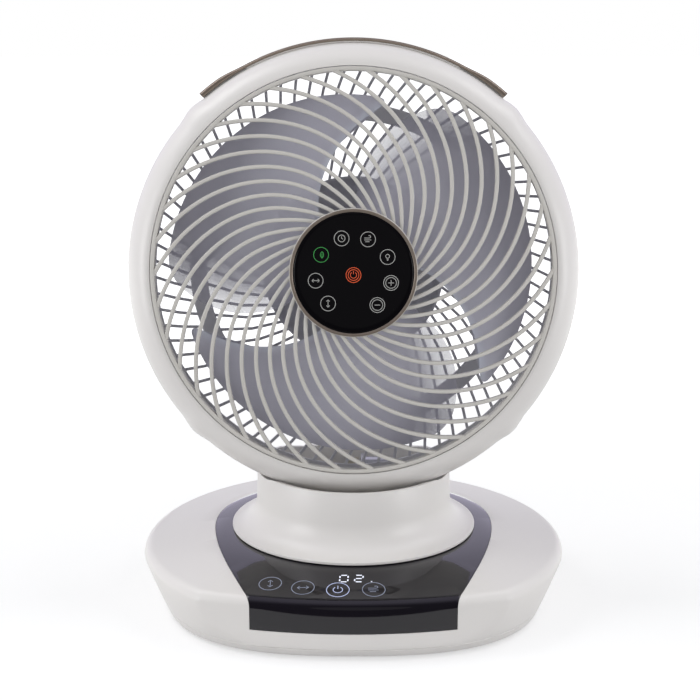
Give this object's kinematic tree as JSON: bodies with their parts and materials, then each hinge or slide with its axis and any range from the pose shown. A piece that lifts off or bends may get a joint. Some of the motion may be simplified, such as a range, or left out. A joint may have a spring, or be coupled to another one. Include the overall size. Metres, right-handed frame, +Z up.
{
  "type": "air circulator",
  "caption": "White table air circulator: round leaning head with spiral grille, docked round remote, swivelling neck and dish base with a glossy touch panel",
  "frame": {"origin": "on the floor, under the middle of the base dish; the swivel axis stands 12.75 mm in front of it", "axes": "+Z up; -Y is the front, the way the air blows; +X is the right of the picture"},
  "size_m": [0.36, 0.3216, 0.4559],
  "materials": {
    "shell": "white moulded plastic, fine satin",
    "grille": "warm light grey moulded plastic, satin",
    "blade": "frosted translucent grey plastic",
    "gloss": "glossy near-black plastic",
    "bronze": "satin bronze paint",
    "dark": "dark grey moulded plastic",
    "board": "green circuit board",
    "rubber": "soft dark rubber",
    "gear": "natural white gear plastic",
    "steel": "plain steel"
  },
  "bodies": {
    "base": {"base_shell": "shell", "control_panel": "gloss", "base_plate": "shell", "power_board": "board", "power_jack": "dark", "touch_board": "board", "led_display": "dark", "foot_pad_1": "rubber", "foot_pad_2": "rubber", "foot_pad_3": "rubber", "foot_pad_4": "rubber", "base_screw_1": "steel", "base_screw_2": "steel", "base_screw_3": "steel", "base_screw_4": "steel", "pan_motor": "steel"},
    "pan_drive": {"pan_pinion": "gear"},
    "neck": {"neck_shell": "shell", "pan_gear": "gear", "tilt_frame": "dark", "tilt_motor": "steel", "tilt_pin_left": "steel", "tilt_pin_right": "steel"},
    "tilt_drive": {"tilt_pinion": "gear"},
    "head": {"head_shell": "shell", "handle_strap": "bronze", "front_grille": "grille", "dock_magnet": "steel", "rear_grille": "grille", "motor_housing": "dark", "motor_stator": "steel", "tilt_knuckle": "shell", "tilt_gear": "gear"},
    "impeller": {"impeller": "blade", "motor_shaft": "steel", "spinner_nut": "dark"},
    "remote": {"remote_body": "dark", "remote_trim": "bronze", "remote_face": "gloss"}
  },
  "joints": [
    {"name": "swivel", "type": "hinge", "parent": "base", "child": "neck", "pos_m": [0, -0.01275, 0], "axis": [0, 0, 1], "range_deg": [-37.5, 37.5]},
    {"name": "swivel_pinion", "type": "hinge", "parent": "base", "child": "pan_drive", "pos_m": [0, 0.03725, 0], "axis": [0, 0, 1], "range_deg": [-151, 151]},
    {"name": "tilt", "type": "hinge", "parent": "neck", "child": "head", "pos_m": [0, 0.01325, 0.086], "axis": [-1, 0, 0], "range_deg": [0, 50]},
    {"name": "tilt_pinion", "type": "hinge", "parent": "neck", "child": "tilt_drive", "pos_m": [0, 0.03875, 0.086], "axis": [-1, 0, 0], "range_deg": [-121, 1]},
    {"name": "impeller_spin", "type": "hinge", "parent": "head", "child": "impeller", "pos_m": [0, -0.01275, 0.271], "axis": [0, -0.9895, 0.1444], "continuous": true},
    {"name": "remote_pull", "type": "slide", "parent": "head", "child": "remote", "axis": [0, -0.9895, 0.1444], "range_m": [0, 0.03]}
  ],
  "couplings": [
    {"joint": "swivel_pinion", "follows": "swivel", "ratio": -4},
    {"joint": "tilt_pinion", "follows": "tilt", "ratio": -2.4}
  ]
}
